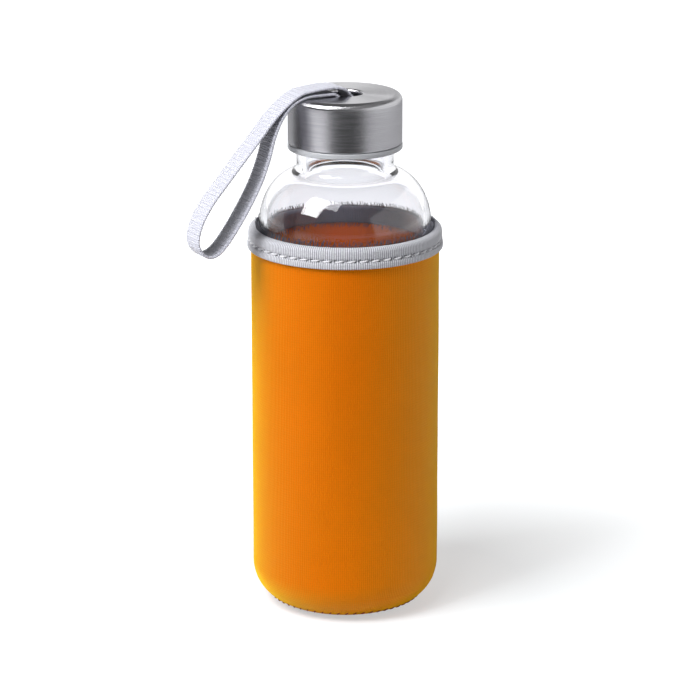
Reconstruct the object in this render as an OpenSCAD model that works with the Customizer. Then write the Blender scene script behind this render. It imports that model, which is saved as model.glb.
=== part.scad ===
// Glass water bottle with a screw cap, a webbing carrying loop and a neoprene sleeve.
// Millimetres, +Z up. The origin is on the bottle's axis, on the underside of the sleeve.
// The carrying loop hangs towards -X; the sleeve's side seam is at +X.

/* [Glass bottle] */
// Outside diameter of the glass body
bottle_d = 62; // [50:0.5:90]
// Height of the glass from its underside to its rim
bottle_h = 183.2; // [150:0.1:260]
// Height of the curved shoulder
shoulder_h = 20; // [14:0.5:30]
// Length of the straight neck above the shoulder
neck_len = 23.7; // [23:0.1:30]
// Thickness of the glass wall
glass_t = 2.6; // [1.8:0.1:4]
// Thickness of the glass floor at its edge
glass_floor_t = 5; // [3:0.5:8]
// Outside radius of the heel between the wall and the floor
heel_r = 12; // [8:0.5:16]
// Height of the hollow under the floor
punt_h = 2; // [0.5:0.5:3]

/* [Neck and thread] */
// Outside diameter of the neck, without its thread
neck_d = 34.8; // [29:0.1:44]
// Thickness of the neck's wall
neck_t = 3.2; // [2:0.1:3.6]
// Rise of the thread in one turn
thread_pitch = 4.2; // [3.6:0.1:4.6]
// Turns of thread on the glass and in the cap
thread_turns = 1.5; // [1:0.25:2]
// Height of the thread out of the glass
thread_h = 1.2; // [0.8:0.1:1.6]

/* [Cap] */
// Thickness of the steel shell
steel_t = 0.5; // [0.3:0.1:1]
// Radius of the shell's top edge
cap_edge_r = 2.5; // [1.5:0.1:3.5]
// Thickness of the liner's skirt
liner_t = 1; // [0.8:0.1:2]
// Thickness of the liner's top
liner_top_t = 1.6; // [1.2:0.1:3]
// Height of the ring under the shell
flange_h = 2; // [1:0.1:3]
// Thickness of the seal between the glass and the liner
seal_t = 1.5; // [1:0.1:2.5]

/* [Carrying loop] */
// Width of the webbing
web_w = 9.4; // [6:0.1:12]
// Thickness of the webbing
web_t = 1.1; // [0.8:0.1:1.5]
// Diameter of the bar that holds the webbing
bar_d = 3.5; // [2.5:0.1:4.5]
// Depth of the recess under the shell
recess_h = 12.9; // [12.5:0.1:15]

/* [Sleeve] */
// Thickness of the neoprene
sleeve_t = 2.7; // [2:0.1:4]
// Height of the bound top edge above the underside
sleeve_h = 141.5; // [110:0.5:200]
// Height of the binding
binding_h = 7.4; // [5:0.1:12]
// Thickness of the binding tape
tape_t = 0.6; // [0.4:0.1:0.8]
// Distance from the sleeve's outside to the seam round the base
base_seam_inset = 9; // [7:0.5:13]
// Distance between two stitches
stitch_pitch = 2.7; // [2:0.1:4]
// Distance between two stitches of the binding
binding_pitch = 4.4; // [3.5:0.1:6]

/* [Hidden] */
$fn = 96;

// Clearances
fit_gap = 0.3;        // between curved faces of pieces that move apart
face_gap = 0.05;      // between flat faces that rest on each other
glue_gap = 0.1;       // between the steel shell and its liner
cut = 1;              // how far a cut runs past what it cuts

// Sleeve and bottle, from the floor up
bottle_r = bottle_d / 2;
bottle_z = sleeve_t + fit_gap;
heel_c = bottle_r - heel_r;
sleeve_in = bottle_r + fit_gap;
sleeve_r = sleeve_in + sleeve_t;
sleeve_heel = heel_r + fit_gap + sleeve_t;
base_seam_r = sleeve_r - base_seam_inset;

// Neck
neck_r = neck_d / 2;
bore_r = neck_r - neck_t;
rim_z = bottle_z + bottle_h;
neck_z = rim_z - neck_len;
shoulder_z = neck_z - shoulder_h;
shoulder_c = neck_r - 2.4;
neck_fillet = 1.35;
rim_r = 1;

// Thread
thread_foot = 1.8;
thread_crest = 0.9;
thread_z = rim_z - 10.4;
thread_root = 0.6;
thread_step = 10;

// Cap, built outwards from the neck and upwards from the rim
liner_in = neck_r + thread_h + fit_gap;
liner_out = liner_in + liner_t;
shell_in = liner_out + glue_gap;
cap_r = shell_in + steel_t;
flange_r = cap_r + 0.1;
seal_z = rim_z + face_gap;
liner_top_z = seal_z + seal_t + face_gap;
cap_top = liner_top_z + liner_top_t + glue_gap + steel_t;
skirt_h = 19.9;
flange_z = cap_top - skirt_h;
shell_gap = 0.3;
shell_z = flange_z + flange_h + shell_gap;

// Carrying loop
bar_r = bar_d / 2;
leg_x = bar_r + glue_gap + web_t / 2;
pivot_z = cap_top + 1.2;
leg_start = -0.5;
swept_r = norm([leg_x + web_t / 2, pivot_z - cap_top - leg_start]);
root_top = pivot_z - swept_r - 0.15;
recess_z = cap_top - steel_t - recess_h;
bar_z = cap_top - 6 - bar_r / 4;
saddle_gap = 0.9;
saddle_w = 3.9;
recess_r = web_w / 2 + saddle_gap + saddle_w;
well_t = 1.4;
well_r = recess_r + well_t;
hole_r = norm([web_w / 2, swept_r]) + 0.4;
lip_r = 0.9;

// Binding
binding_z = sleeve_h - binding_h;
binding_out = sleeve_r + 0.8;
binding_roll = (binding_out - sleeve_in) / 2;
flange_out = sleeve_r + 1.2;
flange_band = 2.6;
inner_tape_z = binding_z + 0.4;
neoprene_top = sleeve_h - 2.1;

// Side seam
seam_low = sleeve_heel + 3;
seam_high = binding_z - 3;

// Points of an arc round c from angle a0 to a1
function arc(c, r, a0, a1, n) =
    [for (i = [0:n]) c + r * [cos(a0 + (a1 - a0) * i / n), sin(a0 + (a1 - a0) * i / n)]];

// Points of a quarter ellipse round c from angle a0 to a1
function bow(c, a, b, a0, a1, n) =
    [for (i = [0:n]) c + [a * cos(a0 + (a1 - a0) * i / n), b * sin(a0 + (a1 - a0) * i / n)]];

// One point of a smooth curve through four neighbours, t from 0 to 1 between p1 and p2
function between(p0, p1, p2, p3, t) =
    (2 * p1 + (p2 - p0) * t + (2 * p0 - 5 * p1 + 4 * p2 - p3) * t * t
     + (3 * p1 - p0 - 3 * p2 + p3) * t * t * t) / 2;

// A smooth curve through all the points p, n steps between each two
function smooth(p, n) =
    let (last = len(p) - 1)
    [for (i = [0:last - 1], k = [0:n - 1])
        between(p[max(i - 1, 0)], p[i], p[i + 1], p[min(i + 2, last)], k / n), p[last]];

// The unit normal of a line of points at point i
function normal(p, i) =
    let (d = p[min(i + 1, len(p) - 1)] - p[max(i - 1, 0)]) [-d[1], d[0]] / norm(d);

// The outline of a ribbon of thickness t along a line of points
function ribbon(p, t) = concat(
    [for (i = [0:len(p) - 1]) p[i] + normal(p, i) * t / 2],
    [for (i = [len(p) - 1:-1:0]) p[i] - normal(p, i) * t / 2]);

// The loop's route: distance from the axis towards -X, and height above the cap's top.
// It leaves the hole, arches over, hangs beside the bottle, folds and comes back along the cap.
edge = cap_r;
lie = fit_gap + web_t / 2 + 0.05;
route = [
    [-leg_x, leg_start], [-leg_x + 0.3, 1.6], [-0.4, 3.2], [3, 3.9], [8.5, 3.8], [edge - 6, 3.1],
    [edge - 0.5, 2], [edge + 4.5, -1.1], [edge + 10, -5.9], [edge + 15.5, -12], [edge + 22, -19.2],
    [edge + 28.5, -26.4], [edge + 34.5, -33.2], [edge + 38.6, -39.6], [edge + 40.5, -45.6],
    [edge + 39.6, -49.8], [edge + 36.6, -52.4], [edge + 33, -52], [edge + 29.2, -48.8],
    [edge + 24.4, -42.6], [edge + 19.4, -35], [edge + 15.2, -27.4], [edge + 12.2, -19.8],
    [edge + 10, -12.4], [edge + 7.3, -6.6], [edge + 3.9, -2.4], [edge, 0], [edge - 4.5, lie],
    [10, lie], [5.5, lie], [leg_x + 0.7, 0.5], [leg_x, leg_start]];

// One leg of the webbing inside the cap: down past the bar, then inwards to the sewn tail
tail_x = web_t / 2 - 0.05;
turn_out = leg_x;
turn_in = 2;
turn_a = acos(1 - (leg_x - tail_x) / (turn_out + turn_in));
tail_z = bar_z - (turn_out + turn_in) * sin(turn_a);
tail_h = 3;
leg = concat(
    [[leg_x, root_top]],
    arc([leg_x - turn_out, bar_z], turn_out, 0, -turn_a, 8),
    arc([tail_x + turn_in, tail_z], turn_in, 180 - turn_a, 180, 8),
    [[tail_x, tail_z - tail_h]]);

// A bead along a right-hand helix; side is 1 for outside a wall of radius r, -1 for inside it
module thread_bead(r, side, start_z, start_a) {
    turns = thread_turns * 360 / thread_step;
    rings = [for (i = [0:turns])
        let (a = start_a + i * thread_step, z = start_z + thread_pitch * i * thread_step / 360,
             grow = min(1, min(i, turns - i) / 4 + 0.02),
             r0 = r - side * thread_root, r1 = r + side * thread_h * grow,
             f = thread_foot / 2, c = thread_crest / 2 * grow + f * (1 - grow))
        for (q = [[r0, -f], [r1, -c], [r1, c], [r0, f]])
            [q[0] * cos(a), q[0] * sin(a), z + q[1]]];
    sides = [for (i = [0:turns - 1], k = [0:3])
        let (a = 4 * i + k, b = 4 * i + (k + 1) % 4)
        side > 0 ? [a, b, b + 4, a + 4] : [a, a + 4, b + 4, b]];
    first = side > 0 ? [3, 2, 1, 0] : [0, 1, 2, 3];
    last = [for (k = first) 4 * turns + 3 - k];
    polyhedron(rings, concat([first], sides, [last]), convexity = 6);
}

// A quarter of a ring's section: the wall of thickness t round a heel of outside radius r
module heel_section(r, t) {
    difference() {
        intersection() {
            translate([heel_c, sleeve_heel]) circle(r);
            translate([heel_c, 0]) square([r + cut, sleeve_heel]);
        }
        translate([heel_c, sleeve_heel]) circle(r - t);
    }
}

// Neoprene wall with the rounded heel, a step for the binding and a groove at the side seam
module sleeve_body() {
    color("darkorange") difference() {
        rotate_extrude() {
            difference() {
                heel_section(sleeve_heel, sleeve_t);
                square([base_seam_r + face_gap, sleeve_heel]);
            }
            difference() {
                translate([sleeve_in, sleeve_heel])
                    square([sleeve_t, neoprene_top - sleeve_heel]);
                translate([sleeve_in - cut, inner_tape_z - face_gap])
                    square([cut + tape_t + face_gap, binding_h]);
            }
        }
        translate([sleeve_r - 0.5, -0.2, seam_low - 2])
            cube([cut, 0.4, seam_high - seam_low + 4]);
    }
}

// Neoprene disc under the bottle, curved up at its edge to meet the wall
module sleeve_base() {
    color("orange") rotate_extrude() {
        square([heel_c, sleeve_t]);
        intersection() {
            heel_section(sleeve_heel, sleeve_t);
            square([base_seam_r, sleeve_heel]);
        }
    }
}

// Thread across the upright seam at the side
module side_seam_stitches() {
    count = floor((seam_high - seam_low) / stitch_pitch);
    color("orangered") for (i = [0:count])
        translate([sleeve_r, 0, seam_low + i * stitch_pitch])
            rotate([i % 2 == 0 ? 70 : 110, 0, 0]) cylinder(r = 0.3, h = 3, center = true, $fn = 16);
}

// Thread across the seam round the base
module base_seam_stitches() {
    count = round(2 * PI * base_seam_r / stitch_pitch);
    slope = asin((base_seam_r - heel_c) / sleeve_heel);
    low = sleeve_heel * (1 - cos(slope));
    color("firebrick") for (i = [0:count - 1])
        rotate([0, 0, (i + 0.5) * 360 / count]) translate([base_seam_r, 0, low])
            rotate([0, 90 - slope, 0]) cylinder(r = 0.25, h = 2, center = true, $fn = 16);
}

// Tape folded over the top edge: a roll above, a flat band with its hem below
module top_binding() {
    color("lightgray") rotate_extrude() difference() {
        union() {
            translate([sleeve_in + binding_roll, sleeve_h - binding_roll]) circle(binding_roll);
            translate([sleeve_in, inner_tape_z])
                square([2 * binding_roll, sleeve_h - binding_roll - inner_tape_z]);
            translate([sleeve_r, binding_z + 0.4])
                square([flange_out - sleeve_r, flange_band - 0.8]);
            translate([sleeve_r, binding_z]) square([flange_out - sleeve_r - 0.4, flange_band]);
            for (z = [0.4, flange_band - 0.4])
                translate([flange_out - 0.4, binding_z + z]) circle(0.4, $fn = 32);
        }
        translate([sleeve_in + tape_t, binding_z - cut])
            square([sleeve_t - tape_t + face_gap, neoprene_top + face_gap - binding_z + cut]);
        translate([sleeve_in - cut, binding_z - cut]) square([cut + tape_t, cut + 0.4]);
    }
}

// Thread that holds the tape, one slanted stitch after another in the groove above the hem
module binding_stitches() {
    count = round(2 * PI * binding_out / binding_pitch);
    color("white") for (i = [0:count - 1])
        rotate([0, 0, i * 360 / count]) translate([binding_out + 0.1, 0, binding_z + flange_band + 0.3])
            rotate([82, 0, 0]) cylinder(r = 0.35, h = binding_pitch * 0.62, center = true, $fn = 16);
}

// Outside of the glass as a solid of revolution's section
function glass_outside() =
    let (join = acos((neck_r + neck_fillet * 0.74 - shoulder_c) / (bottle_r - shoulder_c)),
         top = shoulder_z + shoulder_h * sin(join))
    concat(
        [[0, bottle_z + punt_h]],
        bow([0, bottle_z], heel_c - 3, punt_h, 78, 12, 6),
        [[heel_c - 2, bottle_z]],
        arc([heel_c, bottle_z + heel_r], heel_r, -90, 0, 12),
        bow([shoulder_c, shoulder_z], bottle_r - shoulder_c, shoulder_h, 0, join, 16),
        arc([neck_r + neck_fillet, top + neck_fillet], neck_fillet, 255, 180, 5),
        arc([neck_r - rim_r, rim_z - rim_r], rim_r, 0, 90, 5));

// Inside of the glass, as far as the mouth
function glass_inside() =
    let (r = bottle_r - glass_t, h = heel_r - glass_t, floor_z = bottle_z + glass_floor_t)
    concat(
        [[0, floor_z + 1]],
        bow([0, floor_z], heel_c - 3, 1, 78, 12, 4),
        arc([r - h, floor_z + h], h, -90, 0, 10),
        bow([shoulder_c, shoulder_z], r - shoulder_c, shoulder_h - glass_t * 0.92, 0, 84, 14),
        arc([bore_r + 1, neck_z], 1, 255, 180, 4),
        arc([bore_r + rim_r, rim_z - rim_r], rim_r, 180, 90, 5),
        [[bore_r + rim_r, rim_z + cut], [0, rim_z + cut]]);

// Clear glass bottle with its screw thread
module glass_bottle() {
    color("azure", 0.4) union() {
        rotate_extrude() difference() {
            polygon(concat(glass_outside(), [[0, rim_z]]));
            polygon(glass_inside());
        }
        thread_bead(neck_r, 1, thread_z, 0);
    }
}

// Silicone ring between the glass rim and the liner
module seal_ring() {
    color("whitesmoke") rotate_extrude()
        translate([well_r + fit_gap, seal_z])
            square([liner_in - 0.7 - well_r - fit_gap, seal_t]);
}

// Plastic liner: threaded skirt, ring under the shell, and the recess with two saddles for the bar
module cap_liner() {
    skirt_top = liner_top_z + liner_top_t;
    round_r = cap_edge_r - steel_t;
    color("gainsboro") union() {
        rotate_extrude() difference() {
            union() {
                translate([0, flange_z]) square([liner_out, skirt_top - round_r - flange_z]);
                translate([0, skirt_top - round_r]) square([liner_out - round_r, round_r]);
                translate([liner_out - round_r, skirt_top - round_r]) circle(round_r);
                translate([0, flange_z + 0.4]) square([flange_r, flange_h - 0.8]);
                translate([0, flange_z]) square([flange_r - 0.4, flange_h]);
                for (z = [0.4, flange_h - 0.4])
                    translate([flange_r - 0.4, flange_z + z]) circle(0.4, $fn = 32);
            }
            difference() {
                translate([0, flange_z - cut]) square([liner_in, liner_top_z - flange_z + cut]);
                translate([0, recess_z - well_t]) square([well_r, liner_top_z]);
            }
            translate([0, recess_z]) square([recess_r, recess_h]);
        }
        thread_bead(liner_in, -1, thread_z - thread_pitch / 2, 0);
        for (side = [-1, 1]) saddle(side);
    }
}

// A block on the recess's floor with an open slot that the bar snaps into
module saddle(side) {
    near = web_w / 2 + saddle_gap;
    height = bar_z + bar_r + 1 - recess_z;
    half = bar_r + 1.7;
    reach = sqrt(pow(recess_r + 0.3, 2) - half * half) - near;
    translate([0, side * (near + reach / 2), 0]) difference() {
        translate([-half, -reach / 2, recess_z - 0.2]) cube([2 * half, reach, height + 0.2]);
        translate([0, 0, bar_z]) rotate([90, 0, 0])
            cylinder(r = bar_r + face_gap, h = reach + 2 * cut, center = true);
        translate([-bar_r + 0.2, -reach / 2 - cut, bar_z])
            cube([2 * bar_r - 0.4, reach + 2 * cut, height]);
    }
}

// Drawn steel shell with a rounded edge and a hole with its lip turned down
module cap_shell() {
    color("silver") rotate_extrude() difference() {
        union() {
            translate([hole_r + lip_r, shell_z])
                square([cap_r - cap_edge_r - hole_r - lip_r, cap_top - shell_z]);
            translate([cap_r / 2, shell_z]) square([cap_r / 2, cap_top - cap_edge_r - shell_z]);
            translate([cap_r - cap_edge_r, cap_top - cap_edge_r]) circle(cap_edge_r);
            translate([hole_r + lip_r, cap_top - lip_r]) circle(lip_r);
        }
        shell_inside();
    }
}

// The hollow of the shell's section
module shell_inside() {
    inner_top = cap_top - steel_t;
    inner_r = cap_edge_r - steel_t;
    translate([hole_r + lip_r, shell_z - cut])
        square([cap_r - cap_edge_r - hole_r - lip_r, inner_top - shell_z + cut]);
    translate([0, shell_z - cut]) square([shell_in, cap_top - cap_edge_r - shell_z + cut]);
    translate([cap_r - cap_edge_r, cap_top - cap_edge_r]) circle(inner_r);
    translate([0, shell_z - cut]) square([hole_r + lip_r, cap_top - lip_r - shell_z + cut]);
    translate([hole_r + lip_r, cap_top - lip_r]) circle(lip_r - steel_t);
}

// Steel bar across the recess
module strap_bar() {
    length = 2 * sqrt(recess_r * recess_r - bar_r * bar_r) - 2 * fit_gap;
    color("dimgray") translate([0, 0, bar_z]) rotate([90, 0, 0])
        cylinder(r = bar_r, h = length, center = true);
}

// The webbing inside the cap: two legs round the bar, sewn together below it
module strap_root() {
    color("white") rotate([90, 0, 0]) linear_extrude(web_w, center = true) {
        polygon(ribbon(leg, web_t));
        mirror([1, 0]) polygon(ribbon(leg, web_t));
    }
}

// Two rows of thread through the sewn tail
module strap_stitches() {
    color("gray") for (row = [1, 2.4], k = [-1.5:1.5], side = [-1, 1])
        translate([side * web_t, k * web_w / 5, tail_z - row])
            rotate([90, 0, 0]) cylinder(r = 0.2, h = web_w / 8, center = true, $fn = 16);
}

// The hanging loop of webbing
module strap_loop() {
    line = [for (p = smooth(route, 5)) [-p[0], cap_top + p[1]]];
    color("white") rotate([90, 0, 0]) linear_extrude(web_w, center = true)
        polygon(ribbon(line, web_t));
}

sleeve_body();
sleeve_base();
side_seam_stitches();
base_seam_stitches();
top_binding();
binding_stitches();
glass_bottle();
seal_ring();
cap_liner();
cap_shell();
strap_bar();
strap_root();
strap_stitches();
strap_loop();
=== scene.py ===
"""Glass water bottle with a steel cap, a webbing loop and a neoprene sleeve, dressed around its frame."""

import math

import bmesh
import bpy
import numpy as np
from bpy.props import FloatProperty, FloatVectorProperty, IntProperty, PointerProperty
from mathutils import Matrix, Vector, noise


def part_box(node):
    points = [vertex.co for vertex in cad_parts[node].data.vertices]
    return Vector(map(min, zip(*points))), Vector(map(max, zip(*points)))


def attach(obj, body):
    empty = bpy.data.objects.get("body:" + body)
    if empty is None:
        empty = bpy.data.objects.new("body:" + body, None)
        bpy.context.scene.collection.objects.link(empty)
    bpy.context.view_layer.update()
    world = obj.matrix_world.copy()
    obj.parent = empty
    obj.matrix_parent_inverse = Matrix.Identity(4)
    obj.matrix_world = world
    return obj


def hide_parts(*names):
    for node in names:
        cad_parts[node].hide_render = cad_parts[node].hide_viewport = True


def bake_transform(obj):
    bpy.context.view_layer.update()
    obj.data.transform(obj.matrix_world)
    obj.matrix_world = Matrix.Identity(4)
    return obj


bl_info = {
    "name": "Glass water bottle kit",
    "version": (1, 0, 0),
    "blender": (4, 5, 0),
    "location": "View3D > Sidebar > Bottle",
    "description": "Builds a glass bottle, its steel cap, webbing loop and neoprene sleeve piece by piece",
    "category": "Object",
}

MM = 0.001

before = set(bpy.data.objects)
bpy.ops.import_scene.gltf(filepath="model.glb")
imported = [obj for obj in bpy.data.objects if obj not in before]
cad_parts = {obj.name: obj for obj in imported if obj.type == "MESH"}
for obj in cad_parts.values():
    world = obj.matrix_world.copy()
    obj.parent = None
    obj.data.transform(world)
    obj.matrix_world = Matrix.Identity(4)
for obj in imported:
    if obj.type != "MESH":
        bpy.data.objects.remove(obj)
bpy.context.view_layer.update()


def high(node_name):
    """Highest corner of a frame node, in millimetres."""
    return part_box(node_name)[1] / MM


def low(node_name):
    """Lowest corner of a frame node, in millimetres."""
    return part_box(node_name)[0] / MM


# ---------------------------------------------------------------- colours and nodes


def linear(colour, alpha=1.0):
    """An sRGB hex colour, such as #E8981E, as linear RGBA."""
    parts = [int(colour[i : i + 2], 16) / 255 for i in (1, 3, 5)]
    return [c / 12.92 if c <= 0.04045 else ((c + 0.055) / 1.055) ** 2.4 for c in parts] + [alpha]


def add(tree, kind, inputs=None, **settings):
    """Add one node; inputs maps a socket's name or number to a value or to another node's output."""
    made = tree.nodes.new(kind)
    for key, value in settings.items():
        setattr(made, key, value)
    for key, value in (inputs or {}).items():
        if isinstance(value, bpy.types.Node):
            value = value.outputs[0]
        if isinstance(value, bpy.types.NodeSocket):
            tree.links.new(value, made.inputs[key])
        else:
            made.inputs[key].default_value = value
    return made


def math_node(tree, operation, *values):
    """One Math node on values or outputs."""
    return add(tree, "ShaderNodeMath", dict(enumerate(values)), operation=operation)


def mix_colour(tree, factor, a, b, blend="MIX"):
    """The colour output of one Mix node."""
    made = add(tree, "ShaderNodeMix", {0: factor, 6: a, 7: b}, data_type="RGBA", blend_type=blend)
    return made.outputs[2]


def length_of(tree, parts):
    """The length of a vector that is given by its parts."""
    vector = add(tree, "ShaderNodeCombineXYZ", parts)
    return add(tree, "ShaderNodeVectorMath", {0: vector}, operation="LENGTH").outputs["Value"]


def remap(tree, value, least, most, at_least, at_most, **settings):
    """One Map Range node: from between least and most to between at_least and at_most."""
    inputs = {0: value, 1: least, 2: most, 3: at_least, 4: at_most}
    return add(tree, "ShaderNodeMapRange", inputs, **settings)


def ripple(tree, value, length):
    """A sine wave of this length along a value."""
    return math_node(tree, "SINE", math_node(tree, "MULTIPLY", value, 2 * math.pi / length))


def kept(tree, name):
    """A value that the mesh keeps under this name."""
    return add(tree, "ShaderNodeAttribute", attribute_name=name).outputs["Fac"]


def new_material(name):
    """An empty material; returns it, its tree, its Principled shader and its output."""
    material = bpy.data.materials.new(name)
    material.use_nodes = True
    tree = material.node_tree
    tree.nodes.clear()
    shader = add(tree, "ShaderNodeBsdfPrincipled")
    out = add(tree, "ShaderNodeOutputMaterial", {"Surface": shader})
    return material, tree, shader, out


def finish(tree, shader, tone, values):
    """Link the shader's colour and set its other sockets by name."""
    tree.links.new(tone, shader.inputs["Base Color"])
    for name, value in values.items():
        shader.inputs[name].default_value = value


def axis_coordinates(tree):
    """Radius, angle and height round the bottle's axis, and the point itself, in millimetres and radians."""
    place = add(tree, "ShaderNodeTexCoord").outputs["Object"]
    scaled = add(tree, "ShaderNodeVectorMath", {0: place, "Scale": 1 / MM}, operation="SCALE")
    split = add(tree, "ShaderNodeSeparateXYZ", {0: scaled}).outputs
    radius = length_of(tree, {0: split[0], 1: split[1]})
    angle = math_node(tree, "ARCTAN2", split[1], split[0]).outputs[0]
    return radius, angle, split[2], scaled.outputs[0]


def bump(tree, shader, height, strength, distance):
    """Bump on the shader's normal; distance is in millimetres."""
    made = add(tree, "ShaderNodeBump", {"Height": height, "Strength": strength, "Distance": distance * MM})
    tree.links.new(made.outputs[0], shader.inputs["Normal"])


def grain(tree, vector, scale, detail=2.0, rough=0.5):
    """The value of one noise texture."""
    inputs = {"Vector": vector, "Scale": scale, "Detail": detail, "Roughness": rough}
    return add(tree, "ShaderNodeTexNoise", inputs).outputs[0]


# ---------------------------------------------------------------- materials


def knit_jersey(name, colour, shade, fuzz, lining, wales):
    """Polyester jersey laminated on foam rubber: fine upright wales with painted shade between them, soft,
    with a yellow fuzz at the rim.
    """
    material, tree, shader, _ = new_material(name)
    _, angle, height, point = axis_coordinates(tree)
    course_pair, course_depth = 0.9, 0.35
    sway = math_node(tree, "MULTIPLY", grain(tree, point, 0.35, 2.0), 2.2)
    across = math_node(tree, "SINE", math_node(tree, "MULTIPLY_ADD", angle, wales, sway))
    # The loops of the knit lean to and fro along each wale.
    lean = math_node(tree, "MULTIPLY", math_node(tree, "ABSOLUTE", across), 1.2)
    rows = math_node(tree, "MULTIPLY", height, 2 * math.pi / course_pair)
    course = math_node(tree, "SINE", math_node(tree, "ADD", rows, lean))
    relief = math_node(tree, "ADD", across, math_node(tree, "MULTIPLY", course, course_depth))
    patches = grain(tree, point, 0.05, 3.0)
    pills = grain(tree, point, 1.6, 2.0)
    # Painted shade darkens the grooves between the wales and courses; the pills and patches darken the knit
    # at random.
    groove_shade_and_pills = math_node(tree, "MULTIPLY_ADD", pills, 2.4, relief)
    tone = mix_colour(tree, remap(tree, groove_shade_and_pills, -0.4, 2.4, 0.55, 0.0), colour, shade)
    tone = mix_colour(tree, remap(tree, patches, 0.3, 0.7, 0.18, 0.0), tone, shade)
    tone = mix_colour(tree, kept(tree, "lining"), tone, lining)
    finish(tree, shader, tone, {
        "Roughness": 0.55, "IOR": 1.8, "Specular IOR Level": 1.0, "Specular Tint": fuzz,
        "Sheen Weight": 1.0, "Sheen Roughness": 0.5, "Sheen Tint": fuzz})
    rough_fibre = math_node(tree, "ADD", relief, math_node(tree, "MULTIPLY", pills, 1.6))
    bump(tree, shader, rough_fibre, 0.5, 0.06)
    return material


def ribbed_tape(name, colour, shade, inside, hole):
    """Woven polyester binding tape: matt, slightly glossy filaments, with painted shade between its ribs, in
    its needle holes and on its side against the glass.
    """
    material, tree, shader, _ = new_material(name)
    height, point = axis_coordinates(tree)[2:]
    thread_pitch = 0.5
    threads = ripple(tree, height, thread_pitch)
    fuzz = grain(tree, point, 2.2, 3.0)
    # Painted shade between the ribs; the fuzz below darkens the tape at random.
    tone = mix_colour(tree, remap(tree, kept(tree, "rib"), 0.1, 0.8, 0.85, 0.0), colour, shade)
    tone = mix_colour(tree, remap(tree, fuzz, 0.35, 0.7, 0.0, 0.35), tone, shade)
    # Painted shade on the side that lies against the glass, deepening downwards.
    tone = mix_colour(tree, math_node(tree, "MULTIPLY", kept(tree, "inside"), 0.8), tone, inside)
    # Painted shade in the needle holes.
    tone = mix_colour(tree, kept(tree, "hole"), tone, hole)
    finish(tree, shader, tone, {"Roughness": 0.62, "Sheen Weight": 0.35, "Sheen Roughness": 0.5})
    bump(tree, shader, math_node(tree, "ADD", threads, fuzz), 0.35, 0.05)
    return material


def woven_webbing(name, colour, shade, inner, pick, beat):
    """Flat polyester webbing: white weft ribs across, with painted shade between the picks, crossed by fine
    warp lines.
    """
    material, tree, shader, _ = new_material(name)
    along, across, face = kept(tree, "along"), kept(tree, "across"), kept(tree, "face")
    warp_pitch = 0.55
    heavy = math_node(tree, "MULTIPLY", ripple(tree, along, beat), 0.7)
    warp = math_node(tree, "MULTIPLY", ripple(tree, across, warp_pitch), 0.25)
    relief = math_node(tree, "ADD", math_node(tree, "ADD", ripple(tree, along, pick), heavy), warp)
    slub = grain(tree, add(tree, "ShaderNodeCombineXYZ", {0: along, 1: across}), 0.9, 3.0)
    uneven = math_node(tree, "ADD", relief, math_node(tree, "MULTIPLY", slub, 1.5))
    # Painted shade between the picks; the slubs darken the webbing at random.
    tone = mix_colour(tree, remap(tree, uneven, -1.2, 0.9, 0.3, 0.0), colour, shade)
    # The face that lies inwards is painted greyer between its pale selvedges, partly as shade inside the loop
    # and partly as the face's own darker tone.
    inward = remap(tree, face, 0.1, 0.35, 0.0, 0.55)
    middle = remap(tree, math_node(tree, "ABSOLUTE", across), 2.8, 4.2, 1.0, 0.15)
    tone = mix_colour(tree, math_node(tree, "MULTIPLY", inward, middle), tone, inner)
    finish(tree, shader, tone, {"Roughness": 0.5, "Sheen Weight": 0.3, "Sheen Roughness": 0.4})
    bump(tree, shader, uneven, 0.55, 0.08)
    return material


def spun_thread(name, colour, shade):
    """Twisted sewing thread: a soft filament sheen, darker in the twist."""
    material, tree, shader, _ = new_material(name)
    point = axis_coordinates(tree)[3]
    twist = grain(tree, point, 4.0, 2.0)
    tone = mix_colour(tree, twist, colour, shade)
    finish(tree, shader, tone, {"Roughness": 0.55, "Sheen Weight": 0.3, "Sheen Tint": colour})
    bump(tree, shader, twist, 0.4, 0.05)
    return material


def soda_lime_glass(name):
    """Blown soda-lime glass: clear and fire-polished, with a very slight draw in its thickness."""
    material, tree, shader, out = new_material(name)
    point = axis_coordinates(tree)[3]
    shader.inputs["Base Color"].default_value = linear("#FBFBFE")
    shader.inputs["Roughness"].default_value = 0.0
    shader.inputs["IOR"].default_value = 1.5
    shader.inputs["Transmission Weight"].default_value = 1.0
    draw = grain(tree, point, 0.06, 2.0)
    bump(tree, shader, draw, 0.25, 0.25)
    # Light that only passes through on its way to a matt surface isn't bent, so that it isn't lost.
    clear = add(tree, "ShaderNodeBsdfTransparent", {"Color": linear("#F1F1F4")})
    path = add(tree, "ShaderNodeLightPath").outputs
    lamp_ray = math_node(tree, "MAXIMUM", path["Is Shadow Ray"], path["Is Diffuse Ray"])
    lets_light_in = add(tree, "ShaderNodeMixShader", {0: lamp_ray, 1: shader, 2: clear})
    tree.links.new(lets_light_in.outputs[0], out.inputs["Surface"])
    return material


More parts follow.
